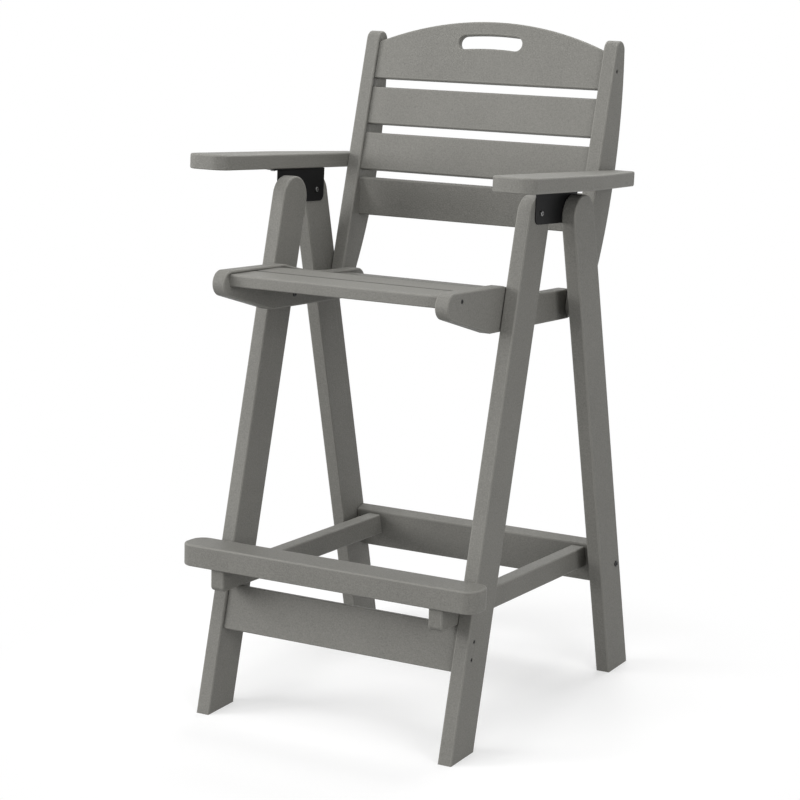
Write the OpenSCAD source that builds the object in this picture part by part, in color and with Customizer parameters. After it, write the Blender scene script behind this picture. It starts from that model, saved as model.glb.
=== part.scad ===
// Bar chair with arms and a footrest, made of solid plastic boards.
// Millimetres, Z up, the floor at z = 0. The chair faces -Y, and +X is on the right seen from the front.
// The chair is the same on both sides, so most pieces are drawn on the right and mirrored.

/* [Overall] */
// Clear width between the two front legs
inner_w = 458.8; // [400:0.2:520]
// Height of the seat rails at the front of the seat
seat_h = 780; // [740:1:820]
// Height of the top edge of the stretchers, halfway along
stretcher_h = 245.8; // [225:0.1:270]

/* [Legs] */
// Thickness of the leg, rail, post, stretcher and arm boards
board_t = 26.2; // [23:0.1:29]
// Width of the leg boards and of the rear cross rail
leg_w = 75.6; // [70:0.1:82]
// Lean of the front legs, in degrees
front_lean = 16.9; // [16:0.1:18]
// Lean of the rear legs, in degrees
rear_lean = 11; // [9:0.1:12]

/* [Seat] */
// Width of one seat slat, front to back
seat_slat_w = 76.2; // [70:0.2:78]
// Thickness of the seat slats
seat_slat_t = 20.6; // [16:0.1:22]
// Gap between two seat slats
seat_gap = 3.8; // [2:0.2:6]

/* [Back] */
// Lean of the back posts, in degrees
back_lean = 17.9; // [17:0.1:19]
// Greatest width of a back post
post_w = 68.7; // [64:0.1:74]
// Height of one back slat
back_slat_w = 69; // [60:0.5:74]
// Thickness of the back slats
back_slat_t = 16; // [12:0.5:18]
// Rise of the arched top of the uppermost slat
arch_h = 43.8; // [34:0.1:54]
// Length of the hand hold
hand_l = 128.6; // [100:0.2:150]
// Height of the hand hold
hand_h = 25.2; // [18:0.1:30]

/* [Arms] */
// Widest width of an arm
arm_w = 79; // [72:0.5:90]
// Width of an arm at its rear end
arm_tail_w = 43.5; // [38:0.5:52]
// Radius of the front corners of an arm
arm_corner_r = 25; // [10:0.5:32]
// Drop of the metal bracket plate below the arm
plate_drop = 60; // [54:0.5:66]

/* [Footrest] */
// Length of the footrest
rest_l = 582.2; // [545:0.2:620]
// Width of the footrest, front to back
rest_w = 63; // [58:0.2:70]
// Thickness of the footrest
rest_t = 39.2; // [30:0.1:44]

/* [Fasteners] */
// Diameter of the wood screws
screw_d = 5; // [4:0.1:6]
// Diameter of the heads of the wood screws
screw_head_d = 7.4; // [6.6:0.1:9.4]
// Diameter of the bolts through the seat rails
bolt_d = 7; // [6:0.1:8]
// Diameter of the heads of those bolts
bolt_head_d = 9.4; // [8.4:0.1:14]
// Diameter of the heads of the bolts through the rear legs
rear_head_d = 11; // [9:0.1:16]

/* [Fits] */
// Depth of the slots that hold the ends of the slats
slot_d = 6; // [4:0.5:8]
// Clearance around a slat in its slot, and around a screw in its hole
fit_gap = 0.2; // [0.1:0.05:0.4]

/* [Hidden] */
$fn = 72;

// layers across the chair, from the middle outwards
plate_t = 1.6;
x_rail = inner_w / 2 - board_t;
x_leg = inner_w / 2;
x_out = x_leg + board_t;
x_rear = x_out + plate_t;

// seat rail: a rounded nose, a straight top, a crest, a long shallow dip and a rounded tail
rail_top_a = 4.96;
rail_dip_a = 17.5;
rail_tail_a = 4.57;
rail_low_a = 18.6;
nose_r = 22.5;
nose_y = -254.8;
tail_r = 26.2;
tail_y = 157;
crest_r = 60;
crest_y = -92.3;
dip_r = 820;
dip_y = -69.6;
function rail_top(y) = seat_h - tan(rail_top_a) * (y + 241.7);
nose_c = [nose_y, rail_top(nose_y) - nose_r / cos(rail_top_a)];
crest_0 = [crest_y, rail_top(crest_y)];
crest_c = crest_0 - crest_r * [sin(rail_top_a), cos(rail_top_a)];
crest_1 = crest_c + crest_r * [sin(rail_dip_a), cos(rail_dip_a)];
dip_0 = [dip_y, crest_1[1] - tan(rail_dip_a) * (dip_y - crest_1[0])];
dip_c = dip_0 + dip_r * [sin(rail_dip_a), cos(rail_dip_a)];
dip_1 = dip_c - dip_r * [sin(rail_tail_a), cos(rail_tail_a)];
tail_c = [tail_y, dip_1[1] - tan(rail_tail_a) * (tail_y - dip_1[0]) - tail_r / cos(rail_tail_a)];
nose_low = nose_c - nose_r * [sin(rail_low_a), cos(rail_low_a)];
tail_low = tail_c - tail_r * [sin(rail_tail_a), cos(rail_tail_a)];
bend_y = (nose_low[1] - tail_low[1] + tan(rail_low_a) * nose_low[0] - tan(rail_tail_a) * tail_low[0])
    / (tan(rail_low_a) - tan(rail_tail_a));
bend = [bend_y, nose_low[1] - tan(rail_low_a) * (bend_y - nose_low[0])];

// seat slats: each starts one gap behind the one before, and has its own fall to the rear
slat_fall = [4.15, 4.25, 14, 11, 8];
slat_y = -257.5;
slat_drop = 6.5;
function slat_start(i) = i == 0 ? [slat_y, rail_top(slat_y) - slat_drop]
    : slat_end(i - 1) + seat_gap * [cos((slat_fall[i] + slat_fall[i - 1]) / 2),
        -sin((slat_fall[i] + slat_fall[i - 1]) / 2)];
function slat_end(i) = slat_start(i) + seat_slat_w * [cos(slat_fall[i]), -sin(slat_fall[i])];

// legs: the tops are tied to the arms, and the feet follow from the lean
front_top = [-9.6, seat_h + 92.1];
rear_top = [103.5, seat_h + 80.7];
front_foot = front_top[0] - front_top[1] * tan(front_lean);
rear_foot = rear_top[0] + rear_top[1] * tan(rear_lean);
front_edge = front_foot - leg_w / 2 / cos(front_lean);

// back post: straight in front, bulging behind, with a rounded foot and a rounded head
post_foot_r = 19.5;
post_head_r = 17.3;
post_l = 454.6;
post_k = post_l / (sqrt(post_w - 2 * post_foot_r) + sqrt(post_w - 2 * post_head_r));
post_arc = (post_k * post_k + post_w) / 2;
post_mid = post_k * sqrt(post_w - 2 * post_foot_r);
post_foot = tail_c + [2, -3.05];
post_o = post_foot - post_foot_r * [cos(back_lean), -sin(back_lean)];

// back slats, as distances along the posts
slat_recess = 6.4;
slat_pitch = 85.6;
slat_1 = 416.9;
lumbar = [25.6, 164.5];
lumbar_turn = 14.5;
peak = slat_1 + back_slat_w / 2 + arch_h;
hand_drop = 36.8;
arch_r = (x_leg * x_leg + arch_h * arch_h) / (2 * arch_h);

// arms and their brackets
arm_fall = 5.65;
arm_z = seat_h + 166.7;
arm_front = -198;
arm_rear = 276.4;
arm_bow_r = 223;
arm_turn_y = 69.6;
arm_turn_in = 5;
arm_tail_r = 8;
plate_y = -22.8;
plate_l = 154.9;
plate_r = 12;
flange_w = 45;
flange_y = -35;
flange_screws = [[8, 7.5], [32, 34], [32, 136]];

// stretchers, cross rails and footrest
stretcher_fall = 3.2;
stretcher_w = 38.6;
stub_y = -297.5;
stub_r = 9;
rear_rail_mid = 203.2;
rear_rail_set = 21.9;
cross_recess = 6;
cross_w = 78.7;
cross_screws = [24.3, 54.4];
rest_gap = 6.4;
rest_r = 24;
rest_screw_pitch = 24;
rest_y = (front_edge + stretcher_h * tan(front_lean)) / (1 + tan(front_lean) * tan(stretcher_fall))
    / cos(stretcher_fall) - rest_gap;
cross_z = let(
    t = tan(stretcher_fall),
    low = stretcher_h - stretcher_w / cos(stretcher_fall),
    z = (low - t * (front_edge + cross_recess / cos(front_lean))) / (1 + t * tan(front_lean)))
    (z + cross_recess * sin(front_lean)) / cos(front_lean) - fit_gap;

// where a line that slopes as the stretchers do, and is at height z0 on y = 0, meets the rear cross rail
function on_rear_rail(z0) = let(
    t = tan(stretcher_fall),
    y = (rear_bolt[0] - board_t / 2 / cos(rear_lean) - (z0 - rear_bolt[1]) * tan(rear_lean))
        / (1 - t * tan(rear_lean)))
    [y, z0 - t * y];

// the whole chair is moved so that its footprint box is centred on the origin
rear_most = max(post_o[0] + post_l * sin(back_lean) + post_head_r * cos(back_lean) + post_head_r,
    post_o[0] + peak * sin(back_lean) + (slat_recess + back_slat_t) * cos(back_lean));
front_most = min(front_edge, (rest_y - rest_w) * cos(stretcher_fall));
shift_y = -(front_most + rear_most) / 2;

function arc(c, r, a0, a1, n) = [for (i = [0 : n]) let(a = a0 + (a1 - a0) * i / n) c + r * [cos(a), sin(a)]];

// a board cut to an outline seen from the side, standing from x outwards
module board(x, t) {
    translate([x, 0, 0]) rotate([90, 0, 90]) linear_extrude(t) children();
}

module both_sides() {
    children();
    mirror([1, 0, 0]) children();
}

module left() {
    mirror([1, 0, 0]) children();
}

module in_place() {
    translate([0, shift_y, 0]) children();
}

// frames that lie along the leaning and sloping pieces
module along_post() {
    translate([0, post_o[0], post_o[1]]) rotate([-back_lean, 0, 0]) children();
}

module along_front_leg() {
    translate([0, front_edge, 0]) rotate([-front_lean, 0, 0]) children();
}

module along_arm() {
    translate([0, 0, arm_z]) rotate([-arm_fall, 0, 0]) children();
}

module along_stretcher() {
    translate([0, 0, stretcher_h]) rotate([-stretcher_fall, 0, 0]) children();
}

// a screw or bolt along +Z: the head stands on z = 0, and the shank goes down
module screw(shank_d, shank_l, head_d, head_h) {
    difference() {
        union() {
            cylinder(d = head_d, h = head_h);
            translate([0, 0, -shank_l]) cylinder(d = shank_d, h = shank_l);
        }
        translate([0, 0, head_h * 0.4]) cylinder(d = head_d * 0.5, h = head_h, $fn = 6);
    }
}

// the hole for such a screw, with room above it for a head below the surface
module screw_hole(shank_d, shank_l, head_d, depth) {
    translate([0, 0, -shank_l - 1]) cylinder(d = shank_d + 2 * fit_gap, h = shank_l + 2);
    cylinder(d = head_d + 4 * fit_gap, h = depth);
}

// axis along X: the head faces outwards, or inwards
module facing_out(x, p) {
    translate([x, p[0], p[1]]) rotate([0, 90, 0]) children();
}

module facing_in(x, p) {
    translate([x, p[0], p[1]]) rotate([0, -90, 0]) children();
}

// places of the screws and bolts
screw_l = 45;
long_screw_l = 55;
plate_screw_l = 22;
flange_screw_d = 4.5;
flange_screw_l = 18;
rail_bolt_l = 40;
rear_bolt_d = 8;
rear_bolt_l = 50;
plate_head_d = 9;
spacer_d = 20;
sink = 3.5;
head_h = 2.6;
cap_h = 2.2;
rail_bolt_z = seat_h - 70.8;
rail_bolt = [front_top[0] - (front_top[1] - rail_bolt_z) * tan(front_lean), rail_bolt_z];
post_bolt = tail_c + [-1, 0];
post_bolt_l = x_rear + board_t - x_rail - 6;
seat_screw_in = 29;
seat_screw = slat_start(0) + seat_screw_in * [cos(slat_fall[0]), -sin(slat_fall[0])]
    - (seat_slat_t / 2 - 1) * [sin(slat_fall[0]), cos(slat_fall[0])];
rear_bolt = [rear_foot - rear_rail_mid * tan(rear_lean) + rear_rail_set, rear_rail_mid];
plate_screw_front = [-7.9, seat_h + 99.5];
plate_screw_rear = [100.5, seat_h + 91.3];
arm_screw_y = 258;
arm_screw = [arm_screw_y, arm_z - arm_screw_y * tan(arm_fall) - board_t / 2];

module leg_outline(foot, top, lean) {
    w = leg_w / 2;
    polygon([[foot - w / cos(lean), 0], [foot + w / cos(lean), 0],
        top + w * [cos(lean), -sin(lean)], top - w * [cos(lean), -sin(lean)]]);
    translate(top) circle(r = w);
}

module front_leg() {
    difference() {
        board(x_leg, board_t) leg_outline(front_foot, front_top, front_lean);
        front_rail_places() screw_hole(screw_d, long_screw_l, screw_head_d, 20);
        facing_in(x_rail, rail_bolt) screw_hole(bolt_d, rail_bolt_l, bolt_head_d, 20);
        facing_out(x_rear, plate_screw_front) screw_hole(screw_d, plate_screw_l, plate_head_d, 1);
    }
}

module front_rail_places() {
    for (z = cross_screws)
        along_front_leg() facing_out(x_out - sink, [cross_recess + board_t / 2 + 1, cross_z - z]) children();
}

module rear_leg() {
    difference() {
        board(x_rear, board_t) leg_outline(rear_foot, rear_top, -rear_lean);
        facing_out(x_rear + board_t, rear_bolt) screw_hole(rear_bolt_d, rear_bolt_l, rear_head_d, 1);
        facing_in(x_rail, post_bolt) screw_hole(bolt_d, post_bolt_l, bolt_head_d, 1);
        facing_in(x_out, plate_screw_rear) screw_hole(screw_d, plate_screw_l, plate_head_d, 1);
    }
}

module stretcher() {
    top = stretcher_h;
    c = cos(stretcher_fall);
    s = sin(stretcher_fall);
    front = [stub_y * c, top - stub_y * s];
    corner = front + stub_r * [c, -s] - (stretcher_w - stub_r) * [s, c];
    difference() {
        board(x_rail, board_t) polygon(concat(
            [on_rear_rail(top), front],
            arc(corner, stub_r, 180 - stretcher_fall, 270 - stretcher_fall, 8),
            [on_rear_rail(top - stretcher_w / c)]));
        rest_places() screw_hole(screw_d, long_screw_l, screw_head_d, 20);
        stretcher_places() screw_hole(screw_d, long_screw_l, screw_head_d, 1);
    }
}

// screws up through the stretchers into the footrest
module rest_places() {
    along_stretcher() for (s = [-0.5, 0.5])
        translate([x_rail + board_t / 2, rest_y - rest_w / 2 + s * rest_screw_pitch, sink - stretcher_w])
            rotate([180, 0, 0]) children();
}

// screws through the rear cross rail into the ends of the stretchers
module stretcher_places() {
    end = (on_rear_rail(stretcher_h) + on_rear_rail(stretcher_h - stretcher_w / cos(stretcher_fall))) / 2;
    head = end + board_t * [cos(rear_lean), sin(rear_lean)];
    translate([x_rail + board_t / 2, head[0], head[1]]) rotate([rear_lean - 90, 0, 0]) children();
}

module seat_rail() {
    difference() {
        union() {
            facing_out(x_rail, nose_c) cylinder(r = nose_r, h = board_t);
            facing_out(x_rail, tail_c) cylinder(r = tail_r, h = board_t);
            board(x_rail, board_t) polygon(concat(
                [nose_low, nose_c + nose_r * [sin(rail_top_a), cos(rail_top_a)]],
                arc(crest_c, crest_r, 90 - rail_top_a, 90 - rail_dip_a, 6),
                arc(dip_c, dip_r, 270 - rail_dip_a, 270 - rail_tail_a, 12),
                [tail_c + tail_r * [sin(rail_tail_a), cos(rail_tail_a)], tail_low, bend]));
        }
        for (i = [0 : 4]) seat_slat(i, fit_gap);
        facing_in(x_rail, rail_bolt) screw_hole(bolt_d, rail_bolt_l, bolt_head_d, 1);
        facing_in(x_rail, post_bolt) screw_hole(bolt_d, post_bolt_l, bolt_head_d, 1);
        facing_out(x_leg - sink, seat_screw) screw_hole(screw_d, screw_l, screw_head_d, 20);
    }
}

// one seat slat, or the space that it needs with a clearance round it
module seat_slat(i, gap) {
    x = x_rail + slot_d;
    translate([-x, slat_start(i)[0], slat_start(i)[1]]) rotate([-slat_fall[i], 0, 0])
        translate([0, -gap, -seat_slat_t - gap]) cube([2 * x, seat_slat_w + 2 * gap, seat_slat_t + 2 * gap]);
}

module first_seat_slat() {
    difference() {
        seat_slat(0, 0);
        both_sides() facing_out(x_leg - sink, seat_screw) screw_hole(screw_d, screw_l, screw_head_d, 1);
    }
}

module back_post() {
    top = [post_head_r, post_l];
    difference() {
        along_post() board(x_leg, board_t) {
            translate([post_foot_r, 0]) circle(r = post_foot_r);
            translate(top) circle(r = post_head_r);
            polygon(concat([[0, 0], [post_foot_r, 0]],
                arc([post_w - post_arc, post_mid], post_arc,
                    -asin(post_mid / (post_arc - post_foot_r)),
                    asin((post_l - post_mid) / (post_arc - post_head_r)), 24),
                [top, [0, post_l]]));
        }
        along_post() for (i = [0 : 3]) slot_for_back_slat(i);
        facing_in(x_rail, post_bolt) screw_hole(bolt_d, post_bolt_l, bolt_head_d, 1);
        facing_in(x_leg, arm_screw) screw_hole(screw_d, long_screw_l, screw_head_d, 1);
        back_screw_places() screw_hole(screw_d, screw_l, screw_head_d, 20);
    }
}

module back_screw_places() {
    along_post() facing_out(x_out - sink, [slat_recess + back_slat_t / 2, slat_1]) children();
}

// a straight back slat along the posts, front face at slat_recess
module back_slat(z, gap) {
    x = x_leg + slot_d;
    translate([-x, slat_recess - gap, z - back_slat_w / 2 - gap])
        cube([2 * x, back_slat_t + 2 * gap, back_slat_w + 2 * gap]);
}

module lumbar_slat(gap) {
    translate([0, lumbar[0], lumbar[1]]) rotate([lumbar_turn, 0, 0])
        translate([0, -slat_recess - back_slat_t / 2, 0]) back_slat(0, gap);
}

module slot_for_back_slat(i) {
    if (i == 3) lumbar_slat(fit_gap);
    else back_slat(slat_1 - i * slat_pitch, fit_gap);
}

module crest_slat() {
    x = x_leg + slot_d;
    low = slat_1 - back_slat_w / 2;
    difference() {
        along_post() translate([0, slat_recess + back_slat_t, 0]) rotate([90, 0, 0])
            linear_extrude(back_slat_t) intersection() {
                translate([-x, low]) square([2 * x, peak - low + 5]);
                translate([0, peak - arch_r]) circle(r = arch_r, $fn = 180);
            }
        along_post() translate([0, slat_recess + back_slat_t + 1, peak - arch_r]) rotate([90, 0, 0])
            hand_hold(back_slat_t + 2);
        both_sides() back_screw_places() screw_hole(screw_d, screw_l, screw_head_d, 1);
    }
}

// the space of the hand hold: a slot with round ends that follows the arch, from the centre of the arch
module hand_hold(depth) {
    mid_r = arch_r - hand_drop;
    turn = asin((hand_l - hand_h) / 2 / mid_r);
    linear_extrude(depth) intersection() {
        difference() {
            circle(r = mid_r + hand_h / 2, $fn = 180);
            circle(r = mid_r - hand_h / 2, $fn = 180);
        }
        polygon([[0, 0], 2 * mid_r * [sin(turn), cos(turn)], 2 * mid_r * [-sin(turn), cos(turn)]]);
    }
    for (s = [-1, 1]) translate(mid_r * [s * sin(turn), cos(turn), 0]) cylinder(d = hand_h, h = depth);
}

// an arm seen from above, in its own sloping frame
module arm_outline() {
    out = x_out + arm_w;
    mid = x_out + arm_w / 2;
    rise = sqrt(pow(arm_bow_r - arm_corner_r, 2) - pow(arm_w / 2 - arm_corner_r, 2));
    turn = asin((arm_w / 2 - arm_corner_r) / (arm_bow_r - arm_corner_r));
    y = arm_front + arm_bow_r - rise;
    polygon(concat(
        arc([x_out + arm_corner_r, y], arm_corner_r, 180, 270 - turn, 12),
        arc([mid, arm_front + arm_bow_r], arm_bow_r, 270 - turn, 270 + turn, 6),
        arc([out - arm_corner_r, y], arm_corner_r, 270 + turn, 360, 12),
        [[out - arm_turn_in, arm_turn_y]],
        arc([x_out + arm_tail_w - arm_tail_r, arm_rear - arm_tail_r], arm_tail_r, 8, 90, 6),
        [[x_out, arm_rear]]));
}

module arm() {
    difference() {
        along_arm() translate([0, 0, -board_t]) linear_extrude(board_t) arm_outline();
        facing_in(x_leg, arm_screw) screw_hole(screw_d, long_screw_l, screw_head_d, 1);
        flange_places() screw_hole(flange_screw_d, flange_screw_l, plate_head_d, 0.5);
    }
}

// screws up through the flange of the bracket into the arm
module flange_places() {
    along_arm() for (p = flange_screws)
        translate([x_out + p[0], flange_y + p[1], -board_t - plate_t]) rotate([180, 0, 0]) children();
}

module arm_bracket() {
    difference() {
        union() {
            along_arm() translate([x_out, 0, -board_t]) rotate([90, 0, 90]) linear_extrude(plate_t)
                polygon(concat([[plate_y + plate_l, 0], [plate_y, 0]],
                    arc([plate_y + plate_r, plate_r - plate_drop], plate_r, 180, 270, 8),
                    arc([plate_y + plate_l - plate_r, plate_r - plate_drop], plate_r, 270, 360, 8)));
            along_arm() translate([x_out, flange_y, -board_t - plate_t])
                cube([flange_w, plate_y + plate_l - flange_y, plate_t]);
        }
        facing_out(x_rear, plate_screw_front) screw_hole(screw_d, plate_screw_l, plate_head_d, 1);
        facing_in(x_out, plate_screw_rear) screw_hole(screw_d, plate_screw_l, plate_head_d, 1);
        flange_places() screw_hole(flange_screw_d, flange_screw_l, plate_head_d, 0.5);
    }
}

module front_rail() {
    difference() {
        along_front_leg() translate([-x_leg, cross_recess, cross_z - cross_w])
            cube([2 * x_leg, board_t, cross_w]);
        both_sides() front_rail_places() screw_hole(screw_d, long_screw_l, screw_head_d, 1);
    }
}

module rear_rail() {
    difference() {
        translate([0, rear_bolt[0], rear_bolt[1]]) rotate([rear_lean, 0, 0])
            translate([-x_rear, -board_t / 2, -leg_w / 2]) cube([2 * x_rear, board_t, leg_w]);
        both_sides() facing_out(x_rear + board_t, rear_bolt)
            screw_hole(rear_bolt_d, rear_bolt_l, rear_head_d, 1);
        both_sides() stretcher_places() screw_hole(screw_d, long_screw_l, screw_head_d, 1);
    }
}

module rest_board() {
    r = rest_r;
    difference() {
        along_stretcher() translate([-rest_l / 2, rest_y - rest_w, 0]) linear_extrude(rest_t) {
            translate([r, 0]) square([rest_l - 2 * r, rest_w]);
            translate([0, r]) square([rest_l, rest_w - 2 * r]);
            for (x = [r, rest_l - r], y = [r, rest_w - r]) translate([x, y]) circle(r = r);
        }
        both_sides() rest_places() screw_hole(screw_d, long_screw_l, screw_head_d, 1);
    }
}

module right_front_leg() { color("#8b877f") in_place() front_leg(); }
module left_front_leg() { color("#827e76") in_place() left() front_leg(); }
module right_rear_leg() { color("#7c7871") in_place() rear_leg(); }
module left_rear_leg() { color("#757169") in_place() left() rear_leg(); }
module right_stretcher() { color("#9a968d") in_place() stretcher(); }
module left_stretcher() { color("#938f86") in_place() left() stretcher(); }
module front_cross_rail() { color("#a19d94") in_place() front_rail(); }
module rear_cross_rail() { color("#6f6b65") in_place() rear_rail(); }
module footrest() { color("#b0aca3") in_place() rest_board(); }
module right_seat_rail() { color("#89857d") in_place() seat_rail(); }
module left_seat_rail() { color("#7f7b74") in_place() left() seat_rail(); }
module seat_slat_1() { color("#b4b0a7") in_place() first_seat_slat(); }
module seat_slat_2() { color("#aaa69d") in_place() seat_slat(1, 0); }
module seat_slat_3() { color("#b4b0a7") in_place() seat_slat(2, 0); }
module seat_slat_4() { color("#aaa69d") in_place() seat_slat(3, 0); }
module seat_slat_5() { color("#b4b0a7") in_place() seat_slat(4, 0); }
module right_back_post() { color("#837f78") in_place() back_post(); }
module left_back_post() { color("#7a766f") in_place() left() back_post(); }
module back_slat_1() { color("#a5a198") in_place() crest_slat(); }
module back_slat_2() { color("#9e9a91") in_place() along_post() back_slat(slat_1 - slat_pitch, 0); }
module back_slat_3() { color("#a5a198") in_place() along_post() back_slat(slat_1 - 2 * slat_pitch, 0); }
module back_slat_4() { color("#9e9a91") in_place() along_post() lumbar_slat(0); }
module right_arm() { color("#b8b4ab") in_place() arm(); }
module left_arm() { color("#b1ada4") in_place() left() arm(); }
module right_arm_bracket() { color("#1c1c1d") in_place() arm_bracket(); }
module left_arm_bracket() { color("#1c1c1d") in_place() left() arm_bracket(); }

module front_rail_screws() {
    color("#4a4a48") in_place() both_sides() front_rail_places()
        screw(screw_d, long_screw_l, screw_head_d, head_h);
}
module rear_rail_bolts() {
    color("#26272a") in_place() both_sides() facing_out(x_rear + board_t, rear_bolt)
        screw(rear_bolt_d, rear_bolt_l, rear_head_d, cap_h);
}
module stretcher_screws() {
    color("#4a4a48") in_place() both_sides() stretcher_places()
        screw(screw_d, long_screw_l, screw_head_d, head_h);
}
module footrest_screws() {
    color("#4a4a48") in_place() both_sides() rest_places()
        screw(screw_d, long_screw_l, screw_head_d, head_h);
}
module seat_rail_bolts() {
    color("#26272a") in_place() both_sides() facing_in(x_rail, rail_bolt)
        screw(bolt_d, rail_bolt_l, bolt_head_d, cap_h);
}
module post_bolts() {
    color("#26272a") in_place() both_sides() facing_in(x_rail, post_bolt)
        screw(bolt_d, post_bolt_l, bolt_head_d, cap_h);
}
module post_spacers() {
    color("#3a3b3e") in_place() both_sides() difference() {
        facing_out(x_out, post_bolt) cylinder(d = spacer_d, h = plate_t);
        facing_in(x_rail, post_bolt) screw_hole(bolt_d, post_bolt_l, bolt_head_d, 1);
    }
}
module seat_slat_screws() {
    color("#4a4a48") in_place() both_sides() facing_out(x_leg - sink, seat_screw)
        screw(screw_d, screw_l, screw_head_d, head_h);
}
module back_slat_screws() {
    color("#4a4a48") in_place() both_sides() back_screw_places()
        screw(screw_d, screw_l, screw_head_d, head_h);
}
module arm_post_screws() {
    color("#4a4a48") in_place() both_sides() facing_in(x_leg, arm_screw)
        screw(screw_d, long_screw_l, screw_head_d, head_h);
}
module bracket_leg_screws() {
    color("#26272a") in_place() both_sides() {
        facing_out(x_rear, plate_screw_front) screw(screw_d, plate_screw_l, plate_head_d, cap_h);
        facing_in(x_out, plate_screw_rear) screw(screw_d, plate_screw_l, plate_head_d, cap_h);
    }
}
module bracket_arm_screws() {
    color("#26272a") in_place() both_sides() flange_places()
        screw(flange_screw_d, flange_screw_l, plate_head_d, cap_h);
}

right_front_leg();
left_front_leg();
right_rear_leg();
left_rear_leg();
right_stretcher();
left_stretcher();
front_cross_rail();
rear_cross_rail();
footrest();
right_seat_rail();
left_seat_rail();
seat_slat_1();
seat_slat_2();
seat_slat_3();
seat_slat_4();
seat_slat_5();
right_back_post();
left_back_post();
back_slat_1();
back_slat_2();
back_slat_3();
back_slat_4();
right_arm();
left_arm();
right_arm_bracket();
left_arm_bracket();
front_rail_screws();
rear_rail_bolts();
stretcher_screws();
footrest_screws();
seat_rail_bolts();
post_bolts();
post_spacers();
seat_slat_screws();
back_slat_screws();
arm_post_screws();
bracket_leg_screws();
bracket_arm_screws();
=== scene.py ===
import bmesh
import bpy
import math
import numpy
from mathutils import Matrix, Vector


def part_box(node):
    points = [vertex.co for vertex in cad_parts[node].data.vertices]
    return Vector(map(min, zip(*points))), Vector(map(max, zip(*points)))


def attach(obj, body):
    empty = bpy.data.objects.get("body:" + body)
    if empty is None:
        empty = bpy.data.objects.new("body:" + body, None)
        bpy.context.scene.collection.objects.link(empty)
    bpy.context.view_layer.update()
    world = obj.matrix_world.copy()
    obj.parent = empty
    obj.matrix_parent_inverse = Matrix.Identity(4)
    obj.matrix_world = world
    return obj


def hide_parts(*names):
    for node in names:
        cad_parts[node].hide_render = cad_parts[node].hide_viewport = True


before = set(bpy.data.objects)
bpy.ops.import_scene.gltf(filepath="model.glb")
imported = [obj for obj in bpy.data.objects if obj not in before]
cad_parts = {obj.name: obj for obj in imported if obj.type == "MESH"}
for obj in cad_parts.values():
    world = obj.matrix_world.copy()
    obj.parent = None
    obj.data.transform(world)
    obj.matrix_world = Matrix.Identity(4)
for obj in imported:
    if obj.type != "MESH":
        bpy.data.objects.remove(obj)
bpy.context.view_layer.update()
scene = bpy.context.scene

# The view. The camera stands in front of the chair and to its right, a little above the seat, with a long
# lens that keeps the legs nearly parallel.
turn, lift, roll = math.radians(30.314), math.radians(13.167), math.radians(-0.189)
distance = 4.1629
aim = Vector((0.00547, -0.0482, 0.53865))
back = Vector((math.cos(lift) * math.sin(turn), -math.cos(lift) * math.cos(turn), math.sin(lift)))
across = Vector((math.cos(turn), math.sin(turn), 0))
upright = back.cross(across)
right = math.cos(roll) * across + math.sin(roll) * upright
up = -math.sin(roll) * across + math.cos(roll) * upright
stand, axes = Matrix.Translation(aim + distance * back), Matrix((right, up, back)).transposed()
camera = bpy.data.objects.new("long_lens", bpy.data.cameras.new("long_lens"))
camera.data.lens = 107.567
camera.data.sensor_width = 36
camera.data.sensor_fit = "HORIZONTAL"
camera.data.clip_end = 50
camera.matrix_world = stand @ axes.to_4x4()
scene.collection.objects.link(camera)
scene.camera = camera
scene.view_settings.view_transform = "Standard"

# The studio. Two soft boxes hang over the chair, three stand round its front, and pale walls fill in from
# all round. The lens, gloss and glass see the walls plain white.
def empty_tree(owner):
    """The nodes and links of a world or a material, with nothing in them."""
    owner.use_nodes = True
    owner.node_tree.nodes.clear()
    return owner.node_tree.nodes, owner.node_tree.links


def seen_directly():
    """1 for a ray from the lens, or for one that gloss or glass has turned, and 0 for the rest."""
    rays = nodes.new("ShaderNodeLightPath")
    either = nodes.new("ShaderNodeMath"); either.operation = "MAXIMUM"
    any_of = nodes.new("ShaderNodeMath"); any_of.operation = "MAXIMUM"
    links.new(rays.outputs["Is Camera Ray"], either.inputs[0])
    links.new(rays.outputs["Is Glossy Ray"], either.inputs[1])
    links.new(either.outputs[0], any_of.inputs[0])
    links.new(rays.outputs["Is Transmission Ray"], any_of.inputs[1])
    return any_of.outputs[0]


world = bpy.data.worlds.new("studio_walls")
scene.world = world
nodes, links = empty_tree(world)
fill = nodes.new("ShaderNodeBackground")
fill.inputs["Color"].default_value = (1, 1, 1, 1)
fill.inputs["Strength"].default_value = 0.36
wall = nodes.new("ShaderNodeBackground")
wall.inputs["Color"].default_value = (1, 1, 1, 1)
wall.inputs["Strength"].default_value = 1
pick = nodes.new("ShaderNodeMixShader")
links.new(seen_directly(), pick.inputs["Fac"])
links.new(fill.outputs[0], pick.inputs[1])
links.new(wall.outputs[0], pick.inputs[2])
out = nodes.new("ShaderNodeOutputWorld")
links.new(pick.outputs[0], out.inputs["Surface"])

LAMP_TARGET = Vector((0, 0, 0.7))
for name, place, width, power in (
    ("soft_box_left", (-3.2, -2.0, 1.6), 1.6, 76),
    ("soft_box_front", (-1.8, -3.0, 1.8), 1.4, 24),
    ("soft_box_right", (3.3, -1.7, 1.2), 1.6, 44),
    ("soft_box_over_front", (0.2, -1.3, 3.8), 2.0, 39),
    ("soft_box_over_back", (0, 1.8, 3.2), 2.0, 50),
):
    lamp = bpy.data.objects.new(name, bpy.data.lights.new(name, "AREA"))
    lamp.data.shape = "SQUARE"
    lamp.data.size = width
    lamp.data.energy = power
    lamp.location = place
    lamp.rotation_euler = (LAMP_TARGET - Vector(place)).to_track_quat("-Z", "Y").to_euler()
    scene.collection.objects.link(lamp)

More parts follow.
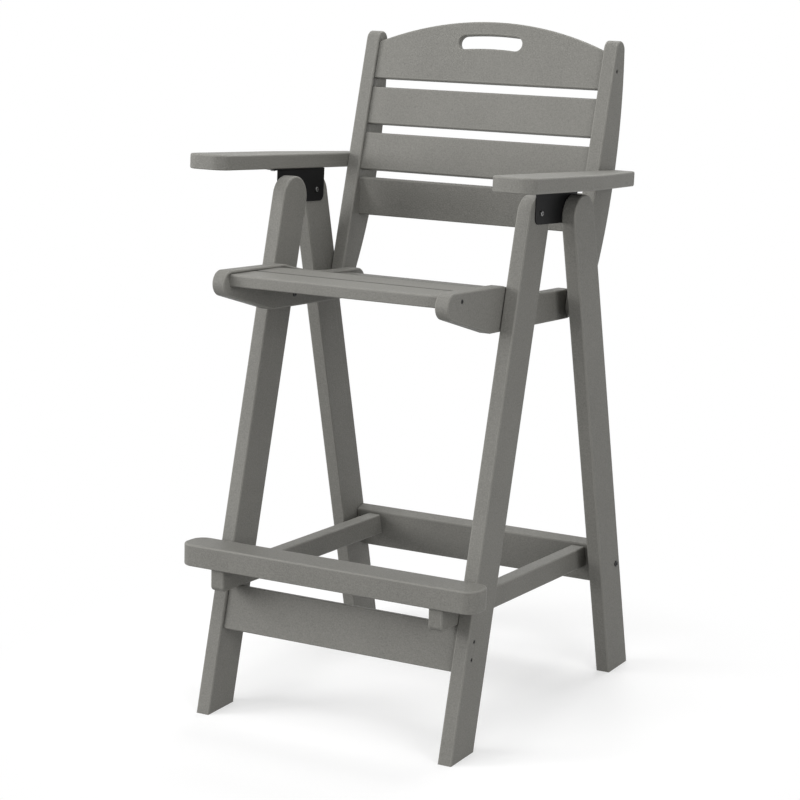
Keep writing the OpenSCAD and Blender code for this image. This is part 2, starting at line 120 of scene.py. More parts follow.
# The floor is a plain white sheet. Near the chair the lens sees its soft shadow, further out the sheet fades
# into the white walls, and it throws back less light than it seems to, so the undersides stay dark.
floor_mesh = bpy.data.meshes.new("floor_sheet")
floor_mesh.from_pydata([(-8, -8, 0), (8, -8, 0), (8, 8, 0), (-8, 8, 0)], [], [(0, 1, 2, 3)])
floor = bpy.data.objects.new("floor_sheet", floor_mesh)
scene.collection.objects.link(floor)
paper = bpy.data.materials.new("white_paper")
nodes, links = empty_tree(paper)
matte = nodes.new("ShaderNodeBsdfDiffuse")
matte.inputs["Color"].default_value = (0.3, 0.3, 0.3, 1)
sheen = nodes.new("ShaderNodeBsdfDiffuse")
sheen.inputs["Color"].default_value = (0.62, 0.62, 0.62, 1)
glow = nodes.new("ShaderNodeEmission")
glow.inputs["Strength"].default_value = 0.4
near = nodes.new("ShaderNodeAddShader")
links.new(sheen.outputs[0], near.inputs[0])
links.new(glow.outputs[0], near.inputs[1])
white = nodes.new("ShaderNodeEmission")
coords = nodes.new("ShaderNodeTexCoord")
away = nodes.new("ShaderNodeVectorMath"); away.operation = "LENGTH"
links.new(coords.outputs["Object"], away.inputs[0])
fade = nodes.new("ShaderNodeMapRange"); fade.interpolation_type = "SMOOTHSTEP"
fade.inputs["From Min"].default_value = 0.4
fade.inputs["From Max"].default_value = 0.8
links.new(away.outputs["Value"], fade.inputs["Value"])
faded = nodes.new("ShaderNodeMixShader")
links.new(fade.outputs["Result"], faded.inputs["Fac"])
links.new(near.outputs[0], faded.inputs[1])
links.new(white.outputs[0], faded.inputs[2])
sheet = nodes.new("ShaderNodeMixShader")
links.new(seen_directly(), sheet.inputs["Fac"])
links.new(matte.outputs[0], sheet.inputs[1])
links.new(faded.outputs[0], sheet.inputs[2])
out = nodes.new("ShaderNodeOutputMaterial")
links.new(sheet.outputs[0], out.inputs["Surface"])
floor_mesh.materials.append(paper)

# The legs are heavy extruded boards of grey plastic lumber with a fine pebbled skin. Their edges are
# eased with a router, the tops are cut to a full round and the feet are cut level.
EASED = 0.0031                       # how wide the router rounds an edge, in metres
SAWN = 0.15                          # the share of it on the sawn edges of a foot
SPECK = 0.00015                      # points of an outline closer than this are one
TINY, HAIR = 1e-6, 1e-4              # how far two places may differ and still count as the same
FLAT = math.radians(0.4)             # faces that differ by less are parts of one face
SHARP = math.radians(28)             # an edge that turns by more is rounded over
CREASE = math.radians(32)            # an edge that turns by more keeps its line


def pebbled_plastic(name, tone):
    """A mottled grey skin of small flat pebbles, its eased edges painted paler (wear and painted highlight)
    and its edges beside a gap painted darker (painted shade).
    """
    skin = bpy.data.materials.new(name)
    skin.use_nodes = True
    nodes, links = skin.node_tree.nodes, skin.node_tree.links
    face = nodes["Principled BSDF"]
    face.inputs["Specular IOR Level"].default_value = 0.2
    coords = nodes.new("ShaderNodeTexCoord")

    def noise(scale, detail):
        grain = nodes.new("ShaderNodeTexNoise")
        grain.inputs["Scale"].default_value = scale
        grain.inputs["Detail"].default_value = detail
        links.new(coords.outputs["Object"], grain.inputs["Vector"])
        return grain.outputs["Fac"]

    cloud, pebble, speck = noise(9, 3), noise(380, 2), noise(700, 1)
    crease = nodes.new("ShaderNodeTexVoronoi")
    crease.feature = "DISTANCE_TO_EDGE"
    crease.inputs["Scale"].default_value = 330
    links.new(coords.outputs["Object"], crease.inputs["Vector"])
    # the creases between the pebbles hold a little dust and shade
    valley = nodes.new("ShaderNodeMapRange")
    valley.inputs["From Max"].default_value = 0.12
    valley.inputs["To Min"].default_value = -0.16
    valley.inputs["To Max"].default_value = 0
    links.new(crease.outputs["Distance"], valley.inputs["Value"])
    mottle = nodes.new("ShaderNodeMath"); mottle.operation = "MULTIPLY_ADD"
    mottle.inputs[1].default_value = 0.25
    links.new(cloud, mottle.inputs[0])
    links.new(valley.outputs["Result"], mottle.inputs[2])
    blend = nodes.new("ShaderNodeMath"); blend.operation = "MULTIPLY_ADD"
    blend.inputs[1].default_value = 0.75
    links.new(pebble, blend.inputs[0])
    links.new(mottle.outputs[0], blend.inputs[2])
    shade = nodes.new("ShaderNodeMix"); shade.data_type = "RGBA"
    shade.inputs["A"].default_value = tuple(0.66 * c for c in tone) + (1,)
    shade.inputs["B"].default_value = tuple(1.36 * c for c in tone) + (1,)
    links.new(blend.outputs[0], shade.inputs["Factor"])
    # the eased edges are painted paler than the skin, partly the router's wear and partly a painted highlight
    edge = nodes.new("ShaderNodeAttribute")
    edge.attribute_name = "eased"
    wear_and_highlight = nodes.new("ShaderNodeMix"); wear_and_highlight.data_type = "RGBA"
    share = nodes.new("ShaderNodeMath"); share.operation = "MULTIPLY"
    share.inputs[1].default_value = 0.5
    links.new(edge.outputs["Fac"], share.inputs[0])
    links.new(share.outputs[0], wear_and_highlight.inputs["Factor"])
    links.new(shade.outputs["Result"], wear_and_highlight.inputs["A"])
    # the paler tone of the eased edges: wear and painted highlight
    wear_and_highlight.inputs["B"].default_value = tuple(1.3 * c for c in tone) + (1,)
    # painted shade darkens the edges beside a narrow gap
    gap_shade_mask = nodes.new("ShaderNodeAttribute")
    gap_shade_mask.attribute_name = "gap_shade"
    painted_gap_shade = nodes.new("ShaderNodeMix"); painted_gap_shade.data_type = "RGBA"
    links.new(gap_shade_mask.outputs["Fac"], painted_gap_shade.inputs["Factor"])
    links.new(wear_and_highlight.outputs["Result"], painted_gap_shade.inputs["A"])
    # painted shade: the edges beside a gap take a darker tone
    painted_gap_shade.inputs["B"].default_value = tuple(0.55 * c for c in tone) + (1,)
    links.new(painted_gap_shade.outputs["Result"], face.inputs["Base Color"])
    rough = nodes.new("ShaderNodeMapRange")
    rough.inputs["To Min"].default_value = 0.45
    rough.inputs["To Max"].default_value = 0.65
    links.new(speck, rough.inputs["Value"])
    links.new(rough.outputs["Result"], face.inputs["Roughness"])
    height = nodes.new("ShaderNodeMath"); height.operation = "MULTIPLY_ADD"
    height.inputs[1].default_value = 0.3
    links.new(speck, height.inputs[0])
    links.new(pebble, height.inputs[2])
    bump = nodes.new("ShaderNodeBump")
    bump.inputs["Strength"].default_value = 0.5
    bump.inputs["Distance"].default_value = 0.0012
    links.new(height.outputs[0], bump.inputs["Height"])
    links.new(bump.outputs["Normal"], face.inputs["Normal"])
    return skin


lumber = pebbled_plastic("grey_lumber", (0.212, 0.208, 0.191))


def finish_mesh(board):
    """Turns what the modifiers make into the board's own mesh, and removes them."""
    bpy.context.view_layer.update()
    mesh = bpy.data.meshes.new_from_object(board.evaluated_get(bpy.context.evaluated_depsgraph_get()))
    old = board.data
    board.modifiers.clear()
    board.data = mesh
    bpy.data.meshes.remove(old)


def cad_copy(node):
    """The CAD node's mesh as a clean bmesh of whole faces, with a layer for how wide each edge is rounded."""
    cut = bmesh.new()
    cut.from_mesh(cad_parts[node].data)
    bmesh.ops.remove_doubles(cut, verts=cut.verts, dist=SPECK)
    bmesh.ops.dissolve_limit(cut, angle_limit=FLAT, verts=cut.verts, edges=cut.edges)
    return cut, cut.edges.layers.float.new("bevel_weight_edge")


def rounded_piece(name, cut, edge, skin):
    """A piece whose weighted edges are rounded over, with the rounded faces marked as eased."""
    mesh = bpy.data.meshes.new(name)
    for f in cut.faces:
        f.smooth = True
    cut.to_mesh(mesh)
    cut.free()
    mesh.materials.append(skin)
    mesh.materials.append(skin)
    piece = bpy.data.objects.new(name, mesh)
    scene.collection.objects.link(piece)
    rounding = piece.modifiers.new("router", "BEVEL")
    rounding.limit_method = "WEIGHT"
    rounding.width = edge
    rounding.segments = 4
    rounding.material = 1
    rounding.use_clamp_overlap = False
    rounding.loop_slide = False
    finish_mesh(piece)
    mesh = piece.data
    eased = mesh.attributes.new("eased", "FLOAT", "FACE")
    for f in mesh.polygons:
        eased.data[f.index].value = f.material_index
        f.material_index = 0
    mesh.materials.pop(index=1)
    fill_sides(mesh)
    smooth_faces(piece)
    return piece


def fill_sides(mesh):
    """Fills a board's two flat sides afresh, so no sliver is left between its outline and its slots."""
    board = bmesh.new()
    board.from_mesh(mesh)
    for side in (min, max):
        x = side(v.co.x for v in board.verts)
        flat = [f for f in board.faces if all(abs(v.co.x - x) < TINY for v in f.verts)]
        if len(flat) > 1:
            rim = [e for f in flat for e in f.edges if sum(g in flat for g in e.link_faces) == 1]
            bmesh.ops.delete(board, geom=flat, context="FACES_KEEP_BOUNDARY")
            normal = Vector((-1 if side is min else 1, 0, 0))
            bmesh.ops.triangle_fill(board, edges=rim, use_beauty=True, normal=normal)
    board.to_mesh(mesh)
    board.free()


def smooth_faces(piece):
    """Shades the rounded edges smoothly and the flat faces flat."""
    for f in piece.data.polygons:
        f.use_smooth = True
    piece.data.set_sharp_from_angle(angle=CREASE)
    soften = piece.modifiers.new("weighted", "WEIGHTED_NORMAL")
    soften.keep_sharp = True
    finish_mesh(piece)


def eased_board(name, node, least_loop=0.1, stand_off=0.0):
    """A board cut like its CAD node, with every long edge rounded over.

    An outline shorter than least_loop, such as a screw hole's or a slot's, stays sharp. stand_off moves the
    outer side in, off the board beside it.
    """
    cut, weight = cad_copy(node)
    outer = max(abs(v.co.x) for v in cut.verts)
    for v in cut.verts:
        if abs(v.co.x) > outer - HAIR:
            v.co.x *= (outer - stand_off) / outer
    left = {e for e in cut.edges if len(e.link_faces) == 2 and e.calc_face_angle(0) > SHARP}
    while left:
        loop, todo = [], [left.pop()]
        while todo:
            e = todo.pop()
            loop.append(e)
            for v in e.verts:
                for n in v.link_edges:
                    if n in left:
                        left.remove(n)
                        todo.append(n)
        spots = [v.co for e in loop for v in e.verts]
        size = Vector([max(p[i] for p in spots) - min(p[i] for p in spots) for i in range(3)]).length
        for e in loop:
            sawn_foot = max(v.co.z for v in e.verts) < HAIR
            e[weight] = 0.0 if size < least_loop else SAWN if sawn_foot else 1.0
    board = rounded_piece(name, cut, EASED, lumber)
    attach(board, "root")
    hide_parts(node)


for side in ("right", "left"):
    eased_board(side + "_front_leg_board", side + "_front_leg")
    eased_board(side + "_rear_leg_board", side + "_rear_leg")

# The undercarriage: a stretcher on each side, a board across the front legs and one across the rear legs,
# and the footrest, a thick board with rounded ends that lies on the stubs of the stretchers.
for side in ("right", "left"):
    eased_board(side + "_stretcher_board", side + "_stretcher")
eased_board("front_cross_board", "front_cross_rail")
eased_board("rear_cross_board", "rear_cross_rail")
eased_board("footrest_board", "footrest")

# The seat rails are sawn to a curve, with a rounded nose and tail, and slotted for the slats. They stand a
# hair off the front legs, which shows as a dark line.
CLEAR_OF_LEG = 0.0013
for side in ("right", "left"):
    eased_board(side + "_seat_rail_board", side + "_seat_rail", least_loop=0.2, stand_off=CLEAR_OF_LEG)

# The back posts are boards too, straight in front and bulged behind, with a rounded foot and head. A bolt
# joins each to the tail of its seat rail and to the rear leg.
for side in ("right", "left"):
    eased_board(side + "_back_post_board", side + "_back_post")

# The crest slat is the top board of the back. Its upper edge is sawn to an arch, and a hand hold is cut
# through it and eased like its outline.
eased_board("crest_slat_board", "back_slat_1")

# The other slats of the back and those of the seat are plain boards with rounded edges, and their ends sit
# in slots of the posts and the rails. The edges beside the narrow gaps of the seat are painted darker as
# painted shade.
SLANT = 0.1                          # a face of a rounded edge leans by more than this both ways


def new_tree(name, numbers, places=()):
    """A node tree that takes a geometry, the named numbers and places, and a skin, and gives a geometry."""
    tree = bpy.data.node_groups.new(name, "GeometryNodeTree")
    tree.interface.new_socket("Geometry", in_out="INPUT", socket_type="NodeSocketGeometry")
    for label in numbers:
        tree.interface.new_socket(label, in_out="INPUT", socket_type="NodeSocketFloat")
    for label in places:
        tree.interface.new_socket(label, in_out="INPUT", socket_type="NodeSocketVector")
    tree.interface.new_socket("Skin", in_out="INPUT", socket_type="NodeSocketMaterial")
    tree.interface.new_socket("Geometry", in_out="OUTPUT", socket_type="NodeSocketGeometry")
    return tree


def end_tree(geometry):
    """Ends the tree: one plain mesh with its skin."""
    real = nodes.new("GeometryNodeRealizeInstances")
    links.new(geometry, real.inputs["Geometry"])
    dress = nodes.new("GeometryNodeSetMaterial")
    links.new(real.outputs["Geometry"], dress.inputs["Geometry"])
    links.new(given.outputs["Skin"], dress.inputs["Material"])
    result = nodes.new("NodeGroupOutput")
    links.new(dress.outputs["Geometry"], result.inputs["Geometry"])


def feed(socket, value):
    """Sets a socket to a number, or links it to the output that gives its value."""
    if isinstance(value, (int, float)):
        socket.default_value = value
    else:
        links.new(value, socket)


def math_node(operation, a, b=0.0):
    """What a maths node of the tree in hand gives for two numbers or outputs."""
    node = nodes.new("ShaderNodeMath")
    node.operation = operation
    feed(node.inputs[0], a)
    feed(node.inputs[1], b)
    return node.outputs[0]


plank = new_tree("plank", ("Length", "Width", "Thickness", "Eased edge", "Fall"), ("Middle",))
nodes, links = plank.nodes, plank.links
given = nodes.new("NodeGroupInput")
section = nodes.new("GeometryNodeCurvePrimitiveQuadrilateral")
links.new(given.outputs["Width"], section.inputs["Width"])
links.new(given.outputs["Thickness"], section.inputs["Height"])
rounded = nodes.new("GeometryNodeFilletCurve")
rounded.mode = "POLY"
rounded.inputs["Count"].default_value = 4
links.new(section.outputs["Curve"], rounded.inputs["Curve"])
links.new(given.outputs["Eased edge"], rounded.inputs["Radius"])
line = nodes.new("GeometryNodeCurvePrimitiveLine")
for share, tag in ((-0.5, "Start"), (0.5, "End")):
    end = nodes.new("ShaderNodeCombineXYZ")
    links.new(math_node("MULTIPLY", given.outputs["Length"], share), end.inputs["X"])
    links.new(end.outputs[0], line.inputs[tag])
extrude = nodes.new("GeometryNodeCurveToMesh")
extrude.inputs["Fill Caps"].default_value = True
links.new(line.outputs["Curve"], extrude.inputs["Curve"])
links.new(rounded.outputs["Curve"], extrude.inputs["Profile Curve"])
tilt = nodes.new("ShaderNodeCombineXYZ")
links.new(given.outputs["Fall"], tilt.inputs["X"])
lay = nodes.new("GeometryNodeTransform")
links.new(extrude.outputs["Mesh"], lay.inputs["Geometry"])
links.new(tilt.outputs[0], lay.inputs["Rotation"])
links.new(given.outputs["Middle"], lay.inputs["Translation"])
end_tree(lay.outputs["Geometry"])


def corners(node):
    """The (y, z) corners of a straight slat's section: front top, rear top, rear bottom, front bottom."""
    spots = [(v.co.y, v.co.z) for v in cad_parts[node].data.vertices]
    ways = ((-1, 1), (1, 1), (1, -1), (-1, -1))
    return [Vector(max(spots, key=lambda p: p[0] * y + p[1] * z)) for y, z in ways]


def tree_inputs(modifier, values):
    """Sets the named inputs of a modifier's tree."""
    for item in modifier.node_group.interface.items_tree:
        if item.item_type == "SOCKET" and item.in_out == "INPUT" and item.name in values:
            modifier[item.identifier] = values[item.name]


def lay_plank(name, node, gap_before=False, gap_behind=False):
    """A slat as long, wide and thick as its CAD node, and with its fall. Its edge beside a gap gets painted
    shade.
    """
    low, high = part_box(node)
    front_top, rear_top, rear_low, front_low = corners(node)
    run = rear_top - front_top
    middle = (front_top + rear_low) / 2
    board = bpy.data.objects.new(name, bpy.data.meshes.new(name))
    scene.collection.objects.link(board)
    made = board.modifiers.new("plank", "NODES")
    made.node_group = plank
    tree_inputs(made, {
        "Length": high.x - low.x, "Width": run.length, "Thickness": (front_top - front_low).length,
        "Eased edge": EASED, "Fall": math.atan2(run.y, run.x),
        "Middle": (0.0, middle.x, middle.y), "Skin": lumber,
    })
    finish_mesh(board)
    board.data.attributes.new("eased", "FLOAT", "FACE")
    board.data.attributes.new("gap_shade", "FLOAT", "FACE")
    along, over = Vector((0, *run.normalized())), Vector((0, -run.y, run.x)) / run.length
    # rounded faces that face up beside a gap get painted shade, and the rest get the paler eased tone of wear
    # and painted highlight
    for f in board.data.polygons:
        ahead, above = f.normal.dot(along), f.normal.dot(over)
        if min(abs(ahead), abs(above)) > SLANT:
            beside_gap = gap_before if ahead < 0 else gap_behind
            kind = "gap_shade" if beside_gap and above > 0 else "eased"
            board.data.attributes[kind].data[f.index].value = 1
    smooth_faces(board)
    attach(board, "root")
    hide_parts(node)


for n in range(1, 6):
    lay_plank(f"seat_slat_board_{n}", f"seat_slat_{n}", gap_before=n > 1, gap_behind=n < 5)
for n in range(2, 5):
    lay_plank(f"back_slat_board_{n}", f"back_slat_{n}")

# The arms are boards that are widest in front, narrow to the rear and have rounded corners. Each lies on the
# flange of its bracket, and its tail is screwed to the outer side of the back post.
for side in ("right", "left"):
    eased_board(side + "_arm_board", side + "_arm")

# The arm brackets are folded steel plates with a black powder coat, screwed between the tops of the legs and
# up into the arms. The fold is rounded outside, and the cut edges are only dulled.
PLATE = 0.0016                       # the thickness of the steel
FOLD = 0.0026                        # how wide the fold is rounded outside
INNER_FOLD, DULLED = 0.35, 0.14      # the shares of it inside the fold and on the cut edges
FOLD_RUN = 0.05                      # the two lines of the fold are longer than this
FLANGE_Z = 0.9                       # and the outer one lies above this height
CORNER_STEP = 0.0025                 # a hollow edge shorter than this stays sharp


def coated_steel(name, dark, pale, metallic, specular, low, high):
    """Steel with a fine grain between two tones, and a roughness from low to high."""
    skin = bpy.data.materials.new(name)
    skin.use_nodes = True
    nodes, links = skin.node_tree.nodes, skin.node_tree.links
    face = nodes["Principled BSDF"]
    face.inputs["Metallic"].default_value = metallic
    face.inputs["Specular IOR Level"].default_value = specular
    coords = nodes.new("ShaderNodeTexCoord")
    grain = nodes.new("ShaderNodeTexNoise")
    grain.inputs["Scale"].default_value = 900
    grain.inputs["Detail"].default_value = 3
    links.new(coords.outputs["Object"], grain.inputs["Vector"])
    tint = nodes.new("ShaderNodeMix"); tint.data_type = "RGBA"
    tint.inputs["A"].default_value = dark + (1,)
    tint.inputs["B"].default_value = pale + (1,)
    links.new(grain.outputs["Fac"], tint.inputs["Factor"])
    links.new(tint.outputs["Result"], face.inputs["Base Color"])
    matt = nodes.new("ShaderNodeMapRange")
    matt.inputs["To Min"].default_value = low
    matt.inputs["To Max"].default_value = high
    links.new(grain.outputs["Fac"], matt.inputs["Value"])
    links.new(matt.outputs["Result"], face.inputs["Roughness"])
    bump = nodes.new("ShaderNodeBump")
    bump.inputs["Strength"].default_value = 0.3
    bump.inputs["Distance"].default_value = 0.0002
    links.new(grain.outputs["Fac"], bump.inputs["Height"])
    links.new(bump.outputs["Normal"], face.inputs["Normal"])
    return skin


powder = coated_steel("black_powder_coat", (0.003, 0.003, 0.003), (0.009, 0.009, 0.0095),
                      metallic=0, specular=0.12, low=0.4, high=0.6)
for side in ("right", "left"):
    cut, weight = cad_copy(side + "_arm_bracket")
    inner = min(abs(v.co.x) for v in cut.verts)
    for e in cut.edges:
        if len(e.link_faces) == 2 and e.calc_face_angle(0) > SHARP:
            a, b = (v.co for v in e.verts)
            along_plate = (a - b).length > FOLD_RUN and abs(a.x - b.x) < HAIR
            depth = abs(a.x) - inner
            if along_plate and e.is_convex and abs(depth) < 2 * HAIR and min(a.z, b.z) > FLANGE_Z:
                e[weight] = 1.0
            elif along_plate and not e.is_convex and abs(depth - PLATE) < 2 * HAIR:
                e[weight] = INNER_FOLD
            elif e.is_convex or (a - b).length >= CORNER_STEP:
                e[weight] = DULLED
    bracket = rounded_piece(side + "_bracket_plate", cut, FOLD, powder)
    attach(bracket, "root")
    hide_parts(side + "_arm_bracket")

# The screws and bolts are steel. Long screws hold the boards together with their heads sunk in the skin,
# their dark coat deepened to near black as painted shade of the sunk holes. Black bolts join the rails, the
# posts and the legs, and bright screws hold the brackets.
SCREW_SIDES, BOLT_SIDES = 4, 6       # the straight sides of the drive
DRIVE_WIDTH = 0.55                   # as a share of the head's diameter
DRIVE_DEPTH = 0.55                   # as a share of its height
# the head rises in steps: each one's share of its height, and how far it is drawn in
HEAD_STEPS = ((0.55, 1.0), (0.25, 0.965), (0.14, 0.93), (0.06, 0.9))
BLUNT = 0.25                         # the tip's end, as a share of the shank
HEAD_POINTS, SHANK_POINTS = 24, 16   # the points round each
fastener = new_tree("fastener", (
    "Head diameter", "Head height", "Shank diameter", "Drive width", "Drive depth", "Drive sides", "Tip"))
nodes, links = fastener.nodes, fastener.links
given = nodes.new("NodeGroupInput")


def raised(mesh, top, height, spread):
    """The top face lifted by height and scaled to spread, with walls below it."""
    lift_face = nodes.new("GeometryNodeExtrudeMesh")
    lift_face.inputs["Individual"].default_value = False
    links.new(mesh, lift_face.inputs["Mesh"])
    if top:
        links.new(top, lift_face.inputs["Selection"])
    feed(lift_face.inputs["Offset Scale"], height)
    scale_face = nodes.new("GeometryNodeScaleElements")
    links.new(lift_face.outputs["Mesh"], scale_face.inputs["Geometry"])
    links.new(lift_face.outputs["Top"], scale_face.inputs["Selection"])
    feed(scale_face.inputs["Scale"], spread)
    return scale_face.outputs["Geometry"], lift_face.outputs["Top"]


radius = math_node("MULTIPLY", given.outputs["Head diameter"], 0.5)
disc = nodes.new("GeometryNodeMeshCircle")
disc.fill_type = "NGON"
disc.inputs["Vertices"].default_value = HEAD_POINTS
links.new(radius, disc.inputs["Radius"])
head, top = disc.outputs["Mesh"], None
for rise, spread in HEAD_STEPS:
    head, top = raised(head, top, math_node("MULTIPLY", given.outputs["Head height"], rise), spread)
rim = math_node("MULTIPLY", given.outputs["Head diameter"], math.prod(spread for rise, spread in HEAD_STEPS))
head, top = raised(head, top, 0.0, math_node("DIVIDE", given.outputs["Drive width"], rim))
# the ring of the drive is pulled in to straight sides
place = nodes.new("GeometryNodeInputPosition")
apart = nodes.new("ShaderNodeSeparateXYZ")
links.new(place.outputs[0], apart.inputs[0])
half_side = math_node("DIVIDE", math.pi, given.outputs["Drive sides"])
bearing = math_node("ADD", math_node("ARCTAN2", apart.outputs["Y"], apart.outputs["X"]), 2 * math.pi)
whole_side = math_node("MULTIPLY", half_side, 2.0)
off_middle = math_node("SUBTRACT", math_node("MODULO", bearing, whole_side), half_side)
pull = math_node("DIVIDE", math_node("COSINE", half_side), math_node("COSINE", off_middle))
together = nodes.new("ShaderNodeCombineXYZ")
links.new(math_node("MULTIPLY", apart.outputs["X"], pull), together.inputs["X"])
links.new(math_node("MULTIPLY", apart.outputs["Y"], pull), together.inputs["Y"])
links.new(apart.outputs["Z"], together.inputs["Z"])
drive = nodes.new("GeometryNodeSetPosition")
links.new(head, drive.inputs["Geometry"])
links.new(top, drive.inputs["Selection"])
links.new(together.outputs[0], drive.inputs["Position"])
depth = math_node("MULTIPLY", given.outputs["Drive depth"], -1.0)
head, top = raised(drive.outputs["Geometry"], top, depth, 1.0)
seat = nodes.new("GeometryNodeFlipFaces")
links.new(disc.outputs["Mesh"], seat.inputs["Mesh"])
closed = nodes.new("GeometryNodeJoinGeometry")
links.new(seat.outputs["Mesh"], closed.inputs["Geometry"])
links.new(head, closed.inputs["Geometry"])
whole_head = nodes.new("GeometryNodeMergeByDistance")
whole_head.inputs["Distance"].default_value = TINY
links.new(closed.outputs["Geometry"], whole_head.inputs["Geometry"])
# the shank hangs under the head, and the blunt tip under the shank
shank_radius = math_node("MULTIPLY", given.outputs["Shank diameter"], 0.5)
shank = nodes.new("GeometryNodeMeshCylinder")
shank.inputs["Vertices"].default_value = SHANK_POINTS
shank.inputs["Depth"].default_value = 1
links.new(shank_radius, shank.inputs["Radius"])
hang = nodes.new("GeometryNodeTransform")
hang.inputs["Translation"].default_value = (0, 0, -0.5)
links.new(shank.outputs["Mesh"], hang.inputs["Geometry"])
tip = nodes.new("GeometryNodeMeshCone")
tip.inputs["Vertices"].default_value = SHANK_POINTS
links.new(math_node("MULTIPLY", shank_radius, BLUNT), tip.inputs["Radius Top"])
links.new(shank_radius, tip.inputs["Radius Bottom"])
links.new(given.outputs["Tip"], tip.inputs["Depth"])
turned = nodes.new("GeometryNodeTransform")
turned.inputs["Rotation"].default_value = (math.pi, 0, 0)
links.new(tip.outputs["Mesh"], turned.inputs["Geometry"])
# each point says which way its screw's head faces and how far the screw reaches below it
aim_of = nodes.new("GeometryNodeInputNamedAttribute")
aim_of.data_type = "FLOAT_VECTOR"
aim_of.inputs["Name"].default_value = "aim"
reach_of = nodes.new("GeometryNodeInputNamedAttribute")
reach_of.data_type = "FLOAT"
reach_of.inputs["Name"].default_value = "reach"
facing = nodes.new("FunctionNodeAlignRotationToVector")
facing.axis = "Z"
links.new(aim_of.outputs["Attribute"], facing.inputs["Vector"])
straight = math_node("SUBTRACT", reach_of.outputs["Attribute"], given.outputs["Tip"])
stretch = nodes.new("ShaderNodeCombineXYZ")
stretch.inputs["X"].default_value = 1
stretch.inputs["Y"].default_value = 1
links.new(straight, stretch.inputs["Z"])
drop = nodes.new("ShaderNodeVectorMath"); drop.operation = "SCALE"
links.new(aim_of.outputs["Attribute"], drop.inputs[0])
links.new(math_node("MULTIPLY", straight, -1.0), drop.inputs["Scale"])
ends_of = nodes.new("GeometryNodeSetPosition")
links.new(given.outputs["Geometry"], ends_of.inputs["Geometry"])
links.new(drop.outputs[0], ends_of.inputs["Offset"])
all_parts = nodes.new("GeometryNodeJoinGeometry")
for spots, part, size in (
    (given.outputs["Geometry"], whole_head.outputs["Geometry"], None),
    (given.outputs["Geometry"], hang.outputs["Geometry"], stretch.outputs[0]),
    (ends_of.outputs["Geometry"], turned.outputs["Geometry"], None),
):
    lay = nodes.new("GeometryNodeInstanceOnPoints")
    links.new(spots, lay.inputs["Points"])
    links.new(part, lay.inputs["Instance"])
    links.new(facing.outputs["Rotation"], lay.inputs["Rotation"])
    if size:
        links.new(size, lay.inputs["Scale"])
    links.new(lay.outputs["Instances"], all_parts.inputs["Geometry"])
end_tree(all_parts.outputs["Geometry"])


SAME = 1e-5                          # points of a CAD screw closer than this lie in one ring


def shafts(node):
    """The screws of a CAD node, each as its place under the head, the way its head faces, and its sizes."""
    cut = bmesh.new()
    cut.from_mesh(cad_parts[node].data)
    bmesh.ops.remove_doubles(cut, verts=cut.verts, dist=SAME)
    left, found = set(cut.verts), []
    for first in cut.verts:
        if first not in left:
            continue
        left.remove(first)
        spots, todo = [], [first]
        while todo:
            v = todo.pop()
            spots.append(v.co)
            for e in v.link_edges:
                o = e.other_vert(v)
                if o in left:
                    left.remove(o)
                    todo.append(o)
        spots = numpy.array(spots)
        middle = spots.mean(axis=0)
        aim = numpy.linalg.svd(spots - middle)[2][0]
        along = (spots - middle) @ aim
        wide = numpy.linalg.norm(spots - middle - numpy.outer(along, aim), axis=1)
        if wide[along < along.min() + SAME].max() > wide[along > along.max() - SAME].max():
            aim, along = -aim, -along
        under = along[along > along.min() + HAIR].min()
        found.append({
            "place": middle + under * aim, "aim": aim, "reach": under - along.min(),
            "Head diameter": 2 * wide.max(), "Head height": along.max() - under,
            "Shank diameter": 2 * wide[along < along.min() + SAME].max(),
        })
    cut.free()
    return found


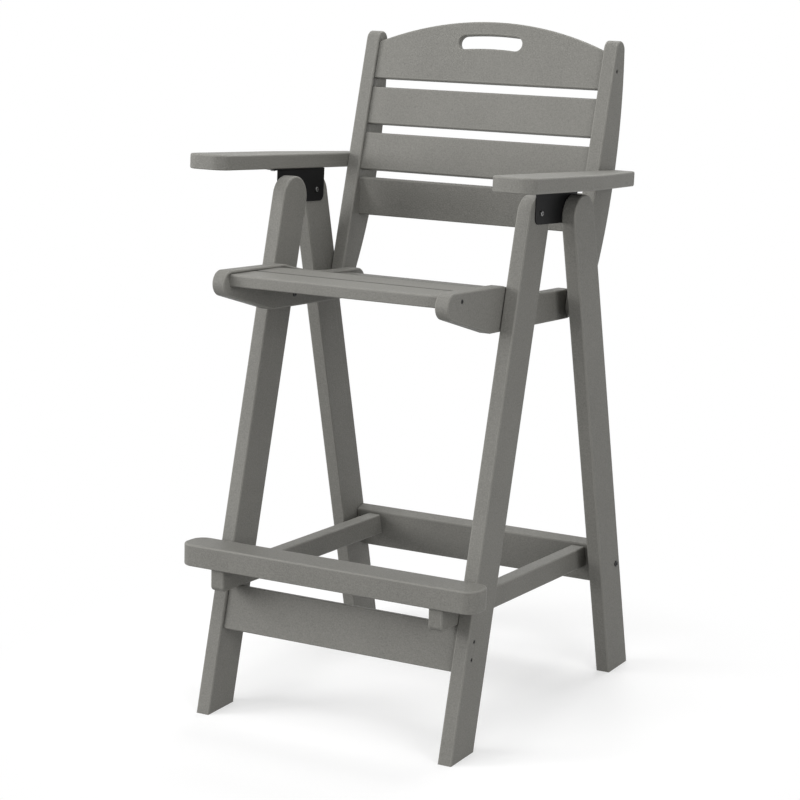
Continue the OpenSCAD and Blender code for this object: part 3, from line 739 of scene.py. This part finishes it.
def drive_in(name, node, sides, skin):
    """The screws or bolts of one CAD node, each at its own place, with a drive of so many straight sides."""
    found = shafts(node)
    mesh = bpy.data.meshes.new(name)
    mesh.from_pydata([screw["place"] for screw in found], [], [])
    mesh.attributes.new("aim", "FLOAT_VECTOR", "POINT")
    mesh.attributes.new("reach", "FLOAT", "POINT")
    for n, screw in enumerate(found):
        mesh.attributes["aim"].data[n].vector = screw["aim"]
        mesh.attributes["reach"].data[n].value = screw["reach"]
    sizes = {label: float(found[0][label]) for label in ("Head diameter", "Head height", "Shank diameter")}
    piece = bpy.data.objects.new(name, mesh)
    scene.collection.objects.link(piece)
    made = piece.modifiers.new("fastener", "NODES")
    made.node_group = fastener
    tree_inputs(made, sizes | {
        "Drive width": DRIVE_WIDTH * sizes["Head diameter"],
        "Drive depth": DRIVE_DEPTH * sizes["Head height"],
        "Drive sides": float(sides), "Tip": sizes["Shank diameter"], "Skin": skin,
    })
    finish_mesh(piece)
    smooth_faces(piece)
    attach(piece, "root")
    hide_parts(node)


# painted shade: the wood screws' dark coat is made near black to stand for the shade in their sunk holes
dark_coat_hole_shade = coated_steel("dark_screw_painted_shade", (0.008, 0.008, 0.008), (0.018, 0.018, 0.017),
                         metallic=0, specular=0.3, low=0.35, high=0.55)
black_steel = coated_steel("black_bolt_steel", (0.004, 0.004, 0.004), (0.01, 0.01, 0.011),
                           metallic=0, specular=0.4, low=0.3, high=0.5)
bright_steel = coated_steel("bright_screw_steel", (0.12, 0.12, 0.12), (0.3, 0.3, 0.3),
                            metallic=1, specular=0.5, low=0.25, high=0.45)
for node in ("front_rail_screws", "stretcher_screws", "footrest_screws", "seat_slat_screws",
             "back_slat_screws", "arm_post_screws"):
    drive_in(node.replace("screws", "screw_set"), node, SCREW_SIDES, dark_coat_hole_shade)
for node in ("rear_rail_bolts", "seat_rail_bolts", "post_bolts"):
    drive_in(node.replace("bolts", "bolt_set"), node, BOLT_SIDES, black_steel)
for node in ("bracket_leg_screws", "bracket_arm_screws"):
    drive_in(node.replace("screws", "screw_set"), node, SCREW_SIDES, bright_steel)

# Round steel spacers keep the back posts clear of the rear legs, where a bolt goes through rail, post and
# leg. They stay as the solids are, and get the bolts' black steel.
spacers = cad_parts["post_spacers"]
spacers.data.materials.clear()
spacers.data.materials.append(black_steel)
